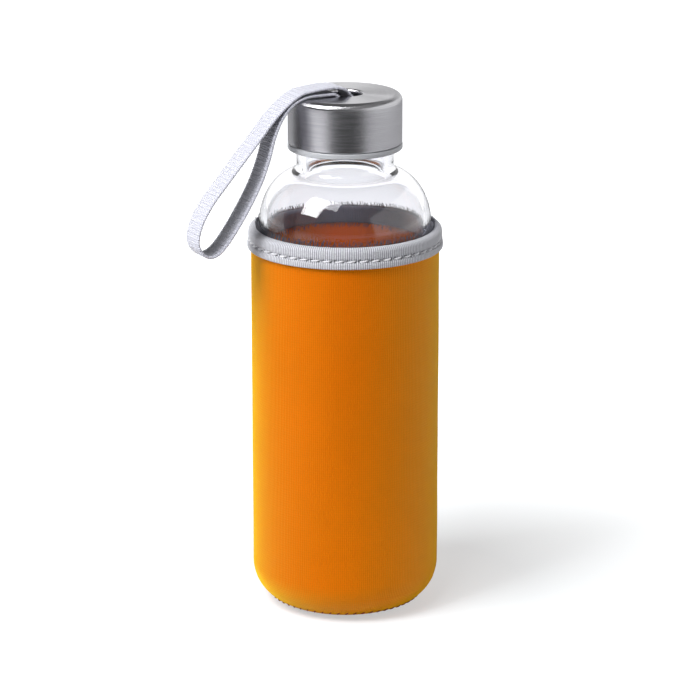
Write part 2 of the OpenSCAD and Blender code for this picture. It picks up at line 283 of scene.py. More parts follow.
def brushed_steel(name, colour, bright, roughness, anisotropy):
    """Stainless steel brushed round its axis: fine rings that stretch every highlight across them."""
    material, tree, shader, _ = new_material(name)
    radius, angle, height, _ = axis_coordinates(tree)
    # Scratches follow the circle: fine across it, a few millimetres long along it.
    way_round = math_node(tree, "MULTIPLY", angle, 0.11)
    rings = add(tree, "ShaderNodeCombineXYZ", {0: radius, 1: height, 2: way_round})
    fine = grain(tree, rings, 8.0, 4.0, 0.65)
    broad = grain(tree, rings, 1.2, 3.0, 0.6)
    streak = remap(tree, fine, 0.3, 0.7, 0.0, 1.0)
    tone = mix_colour(tree, streak, colour, bright)
    finish(tree, shader, tone, {"Metallic": 1.0, "Anisotropic": anisotropy})
    scuff = 0.06
    wear = math_node(tree, "MULTIPLY_ADD", math_node(tree, "ADD", fine, broad), scuff, roughness - scuff)
    tree.links.new(wear.outputs[0], shader.inputs["Roughness"])
    place = add(tree, "ShaderNodeTexCoord").outputs["Object"]
    round_axis = add(tree, "ShaderNodeVectorMath", {0: (0, 0, 1), 1: place}, operation="CROSS_PRODUCT")
    turned = add(tree, "ShaderNodeVectorTransform", {0: round_axis}, vector_type="VECTOR",
                 convert_from="OBJECT", convert_to="WORLD")
    tangent = add(tree, "ShaderNodeVectorMath", {0: turned}, operation="NORMALIZE")
    tree.links.new(tangent.outputs[0], shader.inputs["Tangent"])
    bump(tree, shader, streak, 0.3, 0.02)
    return material


def moulded_plastic(name, colour, roughness, gloss, milky):
    """Injection-moulded polypropylene or silicone: satin, a little light passes into it."""
    material, tree, shader, _ = new_material(name)
    point = axis_coordinates(tree)[3]
    skin = grain(tree, point, 1.3, 3.0)
    tone = mix_colour(tree, math_node(tree, "MULTIPLY", skin, 0.12), colour, linear("#8E9094"))
    reach = 0.6 * MM
    finish(tree, shader, tone, {
        "Roughness": roughness, "Specular IOR Level": gloss, "Subsurface Weight": milky,
        "Subsurface Radius": (reach, reach, reach)})
    bump(tree, shader, skin, 0.15, 0.03)
    return material


# ---------------------------------------------------------------- outlines and meshes


def arc(centre, radius, start, end, steps):
    """Points of an arc, angles in degrees."""
    return bow(centre, radius, radius, start, end, steps)


def bow(centre, a, b, start, end, steps):
    """Points of a part of an ellipse, angles in degrees."""
    turns = np.radians(np.linspace(start, end, steps + 1))
    return [(centre[0] + a * math.cos(t), centre[1] + b * math.sin(t)) for t in turns]


def line(start, end, steps):
    """Points from start to end, the first left out."""
    start, end = np.array(start), np.array(end)
    return [tuple(start + (end - start) * i / steps) for i in range(1, steps + 1)]


def mesh_object(name, points, faces, edges=()):
    """A new object at the origin from points in millimetres."""
    mesh = bpy.data.meshes.new(name)
    mesh.from_pydata([tuple(np.array(p) * MM) for p in points], list(edges), faces)
    mesh.update()
    made = bpy.data.objects.new(name, mesh)
    bpy.context.scene.collection.objects.link(made)
    return made


def fillet(wall, centre, a, b, radius):
    """Centre height of a round of this radius, outside an upright wall, that touches the ellipse below it.

    Returns it with the angle where they touch, seen from the ellipse's centre and from the round's.
    """
    turns = np.radians(np.linspace(0, 90, 1801))
    r, z = centre[0] + a * np.cos(turns), centre[1] + b * np.sin(turns)
    lower = centre[1] + b * math.sqrt(1 - ((wall + radius - centre[0]) / a) ** 2)
    upper = centre[1] + b + radius
    for _ in range(50):
        middle = (lower + upper) / 2
        gap = np.hypot(r - wall - radius, z - middle)
        lower, upper = (middle, upper) if gap.min() < radius else (lower, middle)
    touch = int(gap.argmin())
    end = math.degrees(math.atan2(z[touch] - middle, r[touch] - wall - radius)) % 360
    return middle, math.degrees(turns[touch]), end


def lathe(name, outline, segments, closed, shift=None):
    """Turn an outline of (radius, height) round the axis.

    shift moves the points: it gets their angle, radius and height, and returns the new radius and height.
    """
    r, z = np.array(outline, float).T
    turn = np.arange(segments) * 2 * math.pi / segments
    points, rows = [], []
    for i in range(len(r)):
        pole = r[i] < 1e-6
        angles = turn[:1] if pole else turn
        rr, zz = np.full(len(angles), r[i]), np.full(len(angles), z[i])
        if shift and not pole:
            rr, zz = shift(angles, rr, zz)
        first = len(points)
        points += list(zip(rr * np.cos(angles), rr * np.sin(angles), zz))
        rows.append([first + (0 if pole else j) for j in range(segments)])
    faces = []
    for i in range(len(rows) if closed else len(rows) - 1):
        a, b = rows[i], rows[(i + 1) % len(rows)]
        for j in range(segments):
            k = (j + 1) % segments
            corner = [a[j], a[k], b[k], b[j]]
            face = [v for n, v in enumerate(corner) if v not in corner[:n]]
            if len(face) > 2:
                faces.append(face)
    made = mesh_object(name, points, faces)
    outward(made)
    return made


def outward(made):
    """Recalculate the face normals so that they point out of the solid."""
    work = bmesh.new()
    work.from_mesh(made.data)
    bmesh.ops.recalc_face_normals(work, faces=work.faces)
    work.to_mesh(made.data)
    work.free()


def smooth(made, angle=None):
    """Smooth shading, all over or up to an edge angle in degrees."""
    made.data.shade_smooth()
    if angle is not None:
        made.data.set_sharp_from_angle(angle=math.radians(angle))


def smooth_copy(node_name, name, angle):
    """A merged and smoothly shaded copy of a frame node's mesh."""
    work = bmesh.new()
    work.from_mesh(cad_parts[node_name].data)
    bmesh.ops.remove_doubles(work, verts=work.verts, dist=0.002 * MM)
    mesh = bpy.data.meshes.new(name)
    work.to_mesh(mesh)
    work.free()
    mesh.materials.clear()
    made = bpy.data.objects.new(name, mesh)
    bpy.context.scene.collection.objects.link(made)
    smooth(made, angle)
    return made


def settle(made, material, body, slot, *nodes):
    """Give a finished piece its material and its body, and hide the frame nodes that it stands for; the slot
    is not used.
    """
    made.data.materials.clear()
    made.data.materials.append(material)
    if body:
        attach(made, body)
    if nodes:
        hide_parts(*nodes)
    return made


# ---------------------------------------------------------------- geometry node trees


SOCKETS = {int: "NodeSocketInt", float: "NodeSocketFloat", tuple: "NodeSocketVector"}


def new_tree(name, inputs):
    """A geometry node tree with inputs by name and default, and a material; returns it and its ends."""
    tree = bpy.data.node_groups.new(name, "GeometryNodeTree")
    tree.interface.new_socket("Geometry", in_out="INPUT", socket_type="NodeSocketGeometry")
    tree.interface.new_socket("Geometry", in_out="OUTPUT", socket_type="NodeSocketGeometry")
    for title, value in inputs.items():
        made = tree.interface.new_socket(title, in_out="INPUT", socket_type=SOCKETS[type(value)])
        made.default_value = value
    tree.interface.new_socket("Material", in_out="INPUT", socket_type="NodeSocketMaterial")
    return tree, tree.nodes.new("NodeGroupInput").outputs, tree.nodes.new("NodeGroupOutput").inputs


def keep(tree, geometry, name, value):
    """Store a value on the points of a curve or mesh under this name."""
    inputs = {"Geometry": geometry, "Name": name, "Value": value}
    return add(tree, "GeometryNodeStoreNamedAttribute", inputs, domain="POINT")


def push_out(tree, geometry, height):
    """Move the points of a mesh along their normals, and shade it smooth."""
    normal = add(tree, "GeometryNodeInputNormal")
    push = add(tree, "ShaderNodeVectorMath", {0: normal, "Scale": height}, operation="SCALE")
    moved = add(tree, "GeometryNodeSetPosition", {"Geometry": geometry, "Offset": push})
    return add(tree, "GeometryNodeSetShadeSmooth", {0: moved})


def close_tree(tree, geometry, material, end):
    """End the tree in Realize Instances and Set Material."""
    real = add(tree, "GeometryNodeRealizeInstances", {0: geometry})
    done = add(tree, "GeometryNodeSetMaterial", {"Geometry": real, "Material": material})
    tree.links.new(done.outputs[0], end[0])


def grow(name, base, tree, values):
    """Run the tree on the base object with values by input name; returns a plain mesh object."""
    modifier = base.modifiers.new("build", "NODES")
    modifier.node_group = tree
    for item in tree.interface.items_tree:
        if item.in_out == "INPUT" and item.name in values:
            modifier[item.identifier] = values[item.name]
    graph = bpy.context.evaluated_depsgraph_get()
    done = base.evaluated_get(graph)
    mesh = bpy.data.meshes.new_from_object(done, preserve_all_data_layers=True, depsgraph=graph)
    mesh.name = name
    made = bpy.data.objects.new(name, mesh)
    bpy.context.scene.collection.objects.link(made)
    bpy.data.objects.remove(base)
    if not len(mesh.polygons):
        raise RuntimeError(f"{name}: its node tree made no faces")
    return made


def stitch_tree(name):
    """Bent stitches, evenly spaced along the base polyline and lying on the surface round the axis."""
    tree, start, end = new_tree(name, {
        "Count": 50, "Length": 2.7 * MM, "Thread": 0.3 * MM, "Rise": 0.4 * MM, "Slant": 0.0, "Zigzag": 0.0,
        "Outward": (1.0, 1.0, 0.0)})
    path = add(tree, "GeometryNodeMeshToCurve", {0: start["Geometry"]})
    path = add(tree, "GeometryNodeResampleCurve", {"Curve": path, "Count": start["Count"]})
    half = math_node(tree, "MULTIPLY", start["Length"], 0.5).outputs[0]
    back = math_node(tree, "MULTIPLY", start["Length"], -0.5).outputs[0]
    sunk = math_node(tree, "MULTIPLY", start["Thread"], -1.2).outputs[0]
    bent = add(tree, "GeometryNodeCurvePrimitiveBezierSegment", {
        "Resolution": 6,
        "Start": add(tree, "ShaderNodeCombineXYZ", {0: back, 2: sunk}),
        "Start Handle": add(tree, "ShaderNodeCombineXYZ", {0: back, 2: start["Rise"]}),
        "End Handle": add(tree, "ShaderNodeCombineXYZ", {0: half, 2: start["Rise"]}),
        "End": add(tree, "ShaderNodeCombineXYZ", {0: half, 2: sunk})})
    section = add(tree, "GeometryNodeCurvePrimitiveCircle", {"Resolution": 6, "Radius": start["Thread"]})
    sweep = {"Curve": bent, "Profile Curve": section, "Fill Caps": True}
    stitch = add(tree, "GeometryNodeCurveToMesh", sweep)
    stitch = add(tree, "GeometryNodeSetShadeSmooth", {0: stitch})
    place = add(tree, "GeometryNodeInputPosition")
    out = add(tree, "ShaderNodeVectorMath", {0: place, 1: start["Outward"]}, operation="MULTIPLY")
    up = add(tree, "FunctionNodeAlignRotationToVector", {"Vector": out}, axis="Z")
    ahead = {"Rotation": up, "Vector": add(tree, "GeometryNodeInputTangent")}
    lie = add(tree, "FunctionNodeAlignRotationToVector", ahead, axis="X", pivot_axis="Z")
    odd = math_node(tree, "MODULO", add(tree, "GeometryNodeInputIndex"), 2)
    swing = math_node(tree, "MULTIPLY", math_node(tree, "SUBTRACT", odd, 0.5), start["Zigzag"])
    lean = add(tree, "ShaderNodeCombineXYZ", {2: math_node(tree, "ADD", swing, start["Slant"])})
    turned = add(tree, "FunctionNodeEulerToRotation", {0: lean})
    leaned = add(tree, "FunctionNodeRotateRotation", {0: lie, 1: turned}, rotation_space="LOCAL")
    places = {"Points": path, "Instance": stitch, "Rotation": leaned}
    row = add(tree, "GeometryNodeInstanceOnPoints", places)
    close_tree(tree, row, start["Material"], end)
    return tree


def ring_line(name, radius, height, count):
    """A closed polyline round the axis."""
    turn = np.arange(count) * 2 * math.pi / count
    points = list(zip(radius * np.cos(turn), radius * np.sin(turn), np.full(count, height)))
    return mesh_object(name, points, [], [(i, (i + 1) % count) for i in range(count)])


def webbing_tree(name):
    """A flat ribbon swept along the base polyline, with its picks as ribs, and its along and across in mm."""
    tree, start, end = new_tree(name, {
        "Width": 9.4 * MM, "Thickness": 1.1 * MM, "Step": 0.2 * MM, "Pick": 0.8 * MM, "Rib": 0.05 * MM,
        "Beat": 1.9 * MM, "Scallop": 0.06 * MM, "Mouth": (0.0, 0.0, 0.188)})
    path = add(tree, "GeometryNodeMeshToCurve", {0: start["Geometry"]})
    path = add(tree, "GeometryNodeResampleCurve", {"Curve": path, "Length": start["Step"]}, mode="LENGTH")
    path = add(tree, "GeometryNodeSetCurveNormal", {"Curve": path, "Normal": (0.0, 1.0, 0.0)}, mode="FREE")
    run = add(tree, "GeometryNodeSplineParameter").outputs["Length"]
    path = keep(tree, path, "along", math_node(tree, "DIVIDE", run, MM))
    # The webbing is drawn in a little where it passes through the hole.
    here = {0: add(tree, "GeometryNodeInputPosition"), 1: start["Mouth"]}
    here = add(tree, "ShaderNodeVectorMath", here, operation="DISTANCE").outputs["Value"]
    drawn = remap(tree, here, 3.5 * MM, 9.0 * MM, 0.89, 1.0, interpolation_type="SMOOTHSTEP")
    path = add(tree, "GeometryNodeSetCurveRadius", {"Curve": path, "Radius": drawn})
    sides = {"Width": start["Width"], "Height": start["Thickness"]}
    flat = add(tree, "GeometryNodeCurvePrimitiveQuadrilateral", sides)
    corner = math_node(tree, "MULTIPLY", start["Thickness"], 0.42)
    flat = add(tree, "GeometryNodeFilletCurve", {"Curve": flat, "Radius": corner, "Count": 3}, mode="POLY")
    flat = add(tree, "GeometryNodeResampleCurve", {"Curve": flat, "Length": 0.5 * MM}, mode="LENGTH")
    spot = add(tree, "ShaderNodeSeparateXYZ", {0: add(tree, "GeometryNodeInputPosition")}).outputs
    flat = keep(tree, flat, "across", math_node(tree, "DIVIDE", spot[0], MM))
    flat = keep(tree, flat, "face", math_node(tree, "DIVIDE", spot[1], MM))
    body = add(tree, "GeometryNodeCurveToMesh", {"Curve": path, "Profile Curve": flat, "Fill Caps": True})
    along = add(tree, "GeometryNodeInputNamedAttribute", {"Name": "along"}, data_type="FLOAT")
    across = add(tree, "GeometryNodeInputNamedAttribute", {"Name": "across"}, data_type="FLOAT")
    metres = math_node(tree, "MULTIPLY", along, MM)

    def wave(length):
        waves = math_node(tree, "DIVIDE", metres, length)
        return math_node(tree, "SINE", math_node(tree, "MULTIPLY", waves, 2 * math.pi))

    ribs = math_node(tree, "ADD", wave(start["Pick"]), wave(start["Beat"]))
    # The selvedges, each half a millimetre wide, bulge a little at every pick.
    aside = math_node(tree, "ABSOLUTE", math_node(tree, "MULTIPLY", across, MM))
    half = math_node(tree, "MULTIPLY", start["Width"], 0.5)
    edge = math_node(tree, "GREATER_THAN", aside, math_node(tree, "SUBTRACT", half, 0.5 * MM))
    bulge = math_node(tree, "MULTIPLY", edge, wave(start["Pick"]))
    bulge = math_node(tree, "MULTIPLY", bulge, start["Scallop"])
    height = math_node(tree, "ADD", math_node(tree, "MULTIPLY", ribs, start["Rib"]), bulge)
    close_tree(tree, push_out(tree, body, height), start["Material"], end)
    return tree


def fibre_tree(name):
    """Loose fibres that stand on the base polyline, each leaning and as long as chance has it."""
    tree, start, end = new_tree(name, {
        "Count": 900, "Thread": 0.03 * MM, "Shortest": 0.4, "Longest": 1.5, "Inward": 0.1, "Outward": 0.4,
        "Lean": 0.6, "Flip": 0.0})
    path = add(tree, "GeometryNodeMeshToCurve", {0: start["Geometry"]})
    path = add(tree, "GeometryNodeResampleCurve", {"Curve": path, "Count": start["Count"]})
    bent = add(tree, "GeometryNodeCurvePrimitiveBezierSegment", {
        "Resolution": 4, "Start": (0, 0, -0.1 * MM), "Start Handle": (0, 0, 0.4 * MM),
        "End Handle": (0.08 * MM, 0, 0.75 * MM), "End": (0.26 * MM, 0, 1.0 * MM)})
    section = add(tree, "GeometryNodeCurvePrimitiveCircle", {"Resolution": 3, "Radius": start["Thread"]})
    sweep = {"Curve": bent, "Profile Curve": section, "Fill Caps": True}
    fibre = add(tree, "GeometryNodeCurveToMesh", sweep)

    def chance(least, most, seed):
        inputs = {2: least, 3: most, 8: seed}
        return add(tree, "FunctionNodeRandomValue", inputs, data_type="FLOAT").outputs[1]

    ahead = {"Vector": add(tree, "GeometryNodeInputTangent")}
    upright = add(tree, "FunctionNodeAlignRotationToVector", ahead, axis="X", pivot_axis="Z")
    inward = math_node(tree, "MULTIPLY", start["Inward"], -1.0)
    tilt = math_node(tree, "ADD", chance(inward.outputs[0], start["Outward"], 1), start["Flip"])
    lean = chance(math_node(tree, "MULTIPLY", start["Lean"], -1.0).outputs[0], start["Lean"], 2)
    both = add(tree, "ShaderNodeCombineXYZ", {0: tilt, 1: lean})
    turned = add(tree, "FunctionNodeEulerToRotation", {0: both})
    leaned = add(tree, "FunctionNodeRotateRotation", {0: upright, 1: turned}, rotation_space="LOCAL")
    tall = chance(start["Shortest"], start["Longest"], 3)
    tall = add(tree, "ShaderNodeCombineXYZ", {0: 1.0, 1: 1.0, 2: tall})
    places = {"Points": path, "Instance": fibre, "Rotation": leaned, "Scale": tall}
    row = add(tree, "GeometryNodeInstanceOnPoints", places)
    close_tree(tree, row, start["Material"], end)
    return tree


def binding_tree(name):
    """Sweep the base outline round the axis, with ribs across the tape and a dent at every needle hole."""
    tree, start, end = new_tree(name, {
        "Radius": 30 * MM, "Segments": 1120, "Ribs": 280, "Rib": 0.06 * MM, "Holes": 50, "Hole height": 0.137,
        "Hole reach": 0.31, "Hole depth": 0.5 * MM, "Hole size": 0.48 * MM, "Dark below": 0.14})
    outline = add(tree, "GeometryNodeMeshToCurve", {0: start["Geometry"]})
    circle = {"Resolution": start["Segments"], "Radius": start["Radius"]}
    circle = add(tree, "GeometryNodeCurvePrimitiveCircle", circle)
    sweep = {"Curve": circle, "Profile Curve": outline, "Fill Caps": False}
    body = add(tree, "GeometryNodeCurveToMesh", sweep)
    spot = add(tree, "ShaderNodeSeparateXYZ", {0: add(tree, "GeometryNodeInputPosition")}).outputs
    angle = math_node(tree, "ARCTAN2", spot[1], spot[0])
    radius = length_of(tree, {0: spot[0], 1: spot[1]})
    wave = math_node(tree, "COSINE", math_node(tree, "MULTIPLY", angle, start["Ribs"]))
    rib = math_node(tree, "MULTIPLY_ADD", wave, 0.5, 0.5)
    # Distance round the ring from the nearer end of the nearest stitch.
    turns = math_node(tree, "MULTIPLY", math_node(tree, "DIVIDE", angle, 2 * math.pi), start["Holes"])
    past = math_node(tree, "SUBTRACT", turns, math_node(tree, "ROUND", turns))
    off = math_node(tree, "SUBTRACT", math_node(tree, "ABSOLUTE", past), start["Hole reach"])
    pitch = math_node(tree, "DIVIDE", math_node(tree, "MULTIPLY", radius, 2 * math.pi), start["Holes"])
    sideways = math_node(tree, "MULTIPLY", off, pitch)
    upways = math_node(tree, "SUBTRACT", spot[2], start["Hole height"])
    share = math_node(tree, "DIVIDE", length_of(tree, {0: sideways, 1: upways}), start["Hole size"])
    squared = math_node(tree, "MULTIPLY", share, share)
    hole = math_node(tree, "EXPONENT", math_node(tree, "MULTIPLY", squared, -1.0))
    outer_side = math_node(tree, "ADD", start["Radius"], 3.5 * MM)
    hole = math_node(tree, "MULTIPLY", hole, math_node(tree, "GREATER_THAN", radius, outer_side))
    # The rib and hole masks carry painted shade between the ribs and in the needle holes; the hole mask also
    # dents the tape.
    body = keep(tree, keep(tree, body, "rib", rib), "hole", hole)
    # The side of the tape that lies against the glass, which is fuzzy, and where painted shade deepens
    # downwards from its top.
    inner_side = math_node(tree, "ADD", start["Radius"], 1.9 * MM)
    near = math_node(tree, "LESS_THAN", radius, inner_side)
    depth = math_node(tree, "SUBTRACT", start["Dark below"], spot[2])
    deep = remap(tree, depth, 0.0, 0.9 * MM, 0.0, 1.0)
    body = keep(tree, body, "inside", math_node(tree, "MULTIPLY", near, deep))
    dent = math_node(tree, "MULTIPLY", hole, start["Hole depth"])
    lift = math_node(tree, "SUBTRACT", math_node(tree, "MULTIPLY", rib, start["Rib"]), dent)
    close_tree(tree, push_out(tree, body, lift), start["Material"], end)
    return tree


# ---------------------------------------------------------------- settings


def size(label, about, value, least=0.0, most=500.0):
    """A length in millimetres that a user may change."""
    return FloatProperty(name=label, description=about, default=value, min=least, max=most)


def number(label, about, value):
    """A plain number that a user may change."""
    return FloatProperty(name=label, description=about, default=value)


def tint(label, about, colour):
    """A colour that a user may change."""
    return FloatVectorProperty(name=label, description=about, subtype="COLOR", size=4, min=0.0, max=1.0,
                               default=linear(colour))


class GlassSettings(bpy.types.PropertyGroup):
    wall: size("Wall", "Thickness of the glass wall in mm", 2.6)
    floor: size("Floor", "Thickness of the glass floor in mm", 5.0)
    heel: size("Heel", "Outside radius of the heel in mm", 12.0)
    shoulder: size("Shoulder", "Height of the curved shoulder in mm", 20.0)
    neck_radius: size("Neck radius", "Outside radius of the neck in mm", 17.4)
    neck_wall: size("Neck wall", "Thickness of the neck in mm", 3.2)
    neck_length: size("Neck length", "Height of the neck above the shoulder in mm", 23.7)
    fillet: size("Fillet", "Outside radius between the shoulder and the neck in mm", 3.2)
    punt: size("Punt", "Height of the hollow under the floor in mm", 2.0)
    pitch: size("Thread pitch", "Rise of the thread in one turn in mm", 4.2)
    thread: size("Thread height", "How far the thread stands out in mm", 1.2)


class CapSettings(bpy.types.PropertyGroup):
    edge: size("Edge", "Radius of the top edge in mm", 2.5)
    steel: size("Steel", "Thickness of the shell in mm", 0.5)
    lip: size("Lip", "Radius of the turned-down lip of the hole in mm", 0.9)
    hole: size("Hole", "Radius of the hole in mm", 6.2)
    colour: tint("Steel colour", "Colour of the steel", "#B2B1B5")
    bright: tint("Bright steel", "Colour of the brightest scratches", "#DEDEE2")
    liner: tint("Liner", "Colour of the plastic liner", "#A9ABAF")
    seal: tint("Seal", "Colour of the silicone seal", "#DCDCDA")
    bar: tint("Bar", "Colour of the bar under the hole", "#8A8A8D")
    bright_bar: tint("Bright bar", "Colour of the bar's brightest scratches", "#A6A6A8")


class WebbingSettings(bpy.types.PropertyGroup):
    width: size("Width", "Width of the webbing in mm", 9.4)
    thickness: size("Thickness", "Thickness of the webbing in mm", 1.1)
    pick: size("Pick", "Distance between the weft ribs in mm", 0.8)
    beat: size("Beat", "Distance between the heavier ribs in mm", 1.9)
    colour: tint("Colour", "Colour of the webbing", "#BEBFCA")
    # Shade is painted shade between the picks, and it is also used for a random darker tone.
    shade: tint("Shade", "Colour between the ribs", "#7F808A")
    # The inner face colour is partly painted shade inside the loop and partly the face's own darker tone.
    inner: tint("Inner face", "Colour of the face that lies inwards", "#6E6F76")
    thread: tint("Thread", "Colour of the thread in its tail", "#C4C4C8")
    thread_shade: tint("Thread shade", "Colour in the twist of that thread", "#77777C")


class SleeveSettings(bpy.types.PropertyGroup):
    thickness: size("Thickness", "Thickness of the neoprene in mm", 2.7)
    heel: size("Heel", "Outside radius of the rounded bottom edge in mm", 15.0)
    seam_radius: size("Seam radius", "Radius of the seam round the base in mm", 25.0)
    stitch: size("Stitch", "Distance between two stitches in mm", 2.7)
    wale: size("Wale", "Distance between two wales of the knit in mm", 0.75)
    colour: tint("Colour", "Colour of the knit", "#CE4606")
    # Shade is painted shade between the wales, and it is also used for a random darker tone.
    shade: tint("Shade", "Colour between the wales", "#9A3004")
    fuzz: tint("Fuzz", "Colour of the fine fibres at the rim", "#FFDC00")
    lining: tint("Lining", "Colour of the side that faces the glass", "#E44000")
    thread: tint("Thread", "Colour of the base seam's thread", "#8C2204")
    thread_shade: tint("Thread shade", "Colour in the twist of that thread", "#5E1F0A")
    side_thread: tint("Side thread", "Colour of the side seam's thread", "#D56A10")
    side_shade: tint("Side thread shade", "Colour in the twist of that thread", "#9A3E0A")


class BindingSettings(bpy.types.PropertyGroup):
    pitch: size("Stitch pitch", "Distance between two stitches in mm", 4.4)
    rib: size("Rib", "Distance between the tape's ribs in mm", 0.78)
    colour: tint("Colour", "Colour of the tape", "#CFD0D6")
    # Shade is painted shade between the ribs, and it is also used for a random darker tone.
    shade: tint("Shade", "Colour between the ribs", "#5C5D65")
    # Inside is painted shade on the side that lies against the glass.
    inside: tint("Inside", "Colour of the side that lies against the glass", "#404550")
    # Hole is painted shade in the needle holes.
    hole: tint("Hole", "Colour in the needle holes", "#2A2A2E")
    thread: tint("Thread", "Colour of the thread", "#ECECF0")
    thread_shade: tint("Thread shade", "Colour in the twist of the thread", "#A5A5AA")
    # The fluff colours are dark grey as painted shade, like the tape's side against the glass.
    fluff: tint("Fluff", "Colour of the tape's loose fibres", "#63646B")
    fluff_shade: tint("Fluff shade", "Darker colour of the loose fibres", "#3C3D42")


class StageSettings(bpy.types.PropertyGroup):
    distance: number("Distance", "Camera distance in m", 1.2521)
    turn: number("Turn", "Camera turn in degrees from the front towards the loop's side", 29.1)
    elevation: number("Elevation", "Camera height angle in degrees", 16.48)
    aim: number("Aim", "Height in m that the camera looks at", 0.0945)
    aside: number("Aside", "Camera offset in m to its right", 0.00177)
    lens: number("Lens", "Focal length in mm", 177.1)
    floor: tint("Floor", "Colour of the floor", "#ADB2B5")
    floor_bounce: tint("Floor bounce", "Colour of the light that the floor throws back", "#D0D0D2")
    near_glow: number("Near glow", "How far the floor glows at the bottle", 0.5)
    far_glow: number("Far glow", "How far the floor glows away from it", 0.95)
    room: number("Room", "Brightness of the dim room", 0.1)
    card: tint("Card", "Colour of the dark cards", "#262626")


# ---------------------------------------------------------------- operators


def looked_at(tree, through_glass):
    """One for what the camera sees straight, and this share for what it sees through the glass."""
    path = add(tree, "ShaderNodeLightPath").outputs
    through = math_node(tree, "MULTIPLY", path["Is Transmission Ray"], through_glass)
    return math_node(tree, "MAXIMUM", path["Is Camera Ray"], through)


class BOTTLE_OT_stage(bpy.types.Operator):
    """Make the camera, the floor and the studio lights"""

    bl_idname = "bottle.stage"
    bl_label = "Stage"

    def execute(self, context):
        s = context.scene.bottle_stage
        scene = context.scene
        scene.view_settings.view_transform = "Standard"
        turn, elevation = math.radians(s.turn), math.radians(s.elevation)
        toward = Vector((-math.sin(turn), -math.cos(turn), 0))
        right = Vector((math.cos(turn), -math.sin(turn), 0))
        up = Vector((0, 0, 1))
        target = Vector((0, 0, s.aim)) + right * s.aside
        eye = target + (toward * math.cos(elevation) + up * math.sin(elevation)) * s.distance
        camera = bpy.data.objects.new("camera", bpy.data.cameras.new("camera"))
        camera.data.lens = s.lens
        camera.data.sensor_width = 36
        camera.location = eye
        camera.rotation_euler = (target - eye).to_track_quat("-Z", "Y").to_euler()
        scene.collection.objects.link(camera)
        scene.camera = camera

        reach = 4000
        corners = [(-reach, -reach, 0), (reach, -reach, 0), (reach, reach, 0), (-reach, reach, 0)]
        floor = mesh_object("floor", corners, [(0, 1, 2, 3)])
        material, tree, shader, out = new_material("matt_paper")
        shader.inputs["Base Color"].default_value = s.floor
        shader.inputs["Roughness"].default_value = 0.9
        # The sweep glows towards white where the camera sees it, a painted light that lifts the bottle's
        # shadow and grows away from it, and throws less light back on the bottle.
        shader.inputs["Emission Color"].default_value = linear("#FFFFFF")
        glow = remap(tree, axis_coordinates(tree)[0], 70.0, 230.0, s.near_glow, s.far_glow)
        tree.links.new(glow.outputs[0], shader.inputs["Emission Strength"])
        dim = add(tree, "ShaderNodeBsdfDiffuse", {"Color": s.floor_bounce})
        both = add(tree, "ShaderNodeMixShader", {0: looked_at(tree, 0.7), 1: dim, 2: shader})
        tree.links.new(both.outputs[0], out.inputs["Surface"])
        floor.data.materials.append(material)
        floor.location.z = -0.0002

        # The room is dim, and white only where it is looked at, straight or through the glass.
        world = bpy.data.worlds.new("studio")
        world.use_nodes = True
        tree = world.node_tree
        tree.nodes.clear()
        path = add(tree, "ShaderNodeLightPath")
        glossy = math_node(tree, "MULTIPLY_ADD", path.outputs["Is Glossy Ray"], 0.4 * s.room, s.room)
        room = add(tree, "ShaderNodeBackground", {"Color": linear("#FFFFFF"), "Strength": glossy})
        white = add(tree, "ShaderNodeBackground", {"Color": linear("#FFFFFF"), "Strength": 1.0})
        both = add(tree, "ShaderNodeMixShader", {0: looked_at(tree, 0.5), 1: room, 2: white})
        add(tree, "ShaderNodeOutputWorld", {"Surface": both})
        scene.world = world

        middle = Vector((0, 0, 0.1))

        def softbox(name, turn, elevation, away, width, tall, power, mirrored):
            """A soft panel, turned from the camera's direction to its right, facing the bottle's middle."""
            a, e = math.radians(turn), math.radians(elevation)
            side = (toward * math.cos(a) + right * math.sin(a)) * math.cos(e) + up * math.sin(e)
            lamp = bpy.data.lights.new(name, "AREA")
            lamp.shape, lamp.size, lamp.size_y, lamp.energy = "RECTANGLE", width, tall, power
            made = bpy.data.objects.new(name, lamp)
            made.location = middle + side * away
            made.rotation_euler = (-side).to_track_quat("-Z", "Y").to_euler()
            made.visible_camera = False
            made.visible_glossy = mirrored
            scene.collection.objects.link(made)

        softbox("key_softbox", -54, 44, 1.0, 0.42, 0.62, 12.0, True)
        softbox("side_panel", 88, 14, 1.0, 2.2, 0.9, 5.2, True)
        softbox("back_panel", 180, 16, 1.8, 3.2, 1.3, 9.5, True)
        softbox("top_softbox", -30, 54, 2.2, 0.9, 0.8, 21.0, False)
        softbox("rim_panel", -112, 12, 1.2, 0.8, 0.9, 2.2, False)

        black, tree, shader, _ = new_material("black_card")
        shader.inputs["Base Color"].default_value = s.card
        shader.inputs["Roughness"].default_value = 0.9
        near, far, high_up, corners = 180, 1300, 8, 12
        base = math.atan2(toward.y, toward.x)

        def dark_card(name, first, last):
            """A dark card over a sector of the floor, which only reflections see."""
            turns = [base + math.radians(a) for a in np.linspace(first, last, corners)]
            ring = [(math.cos(a), math.sin(a)) for a in turns]
            points = [(x * near, y * near, high_up) for x, y in ring]
            points += [(x * far, y * far, high_up) for x, y in ring[::-1]]
            card = mesh_object(name, points, [tuple(range(len(points)))])
            card.data.materials.append(black)
            for ray in ("camera", "diffuse", "shadow", "transmission"):
                setattr(card, f"visible_{ray}", False)

        dark_card("front_card", -33, 39.5)
        dark_card("left_card", -122, -78)
        return {"FINISHED"}


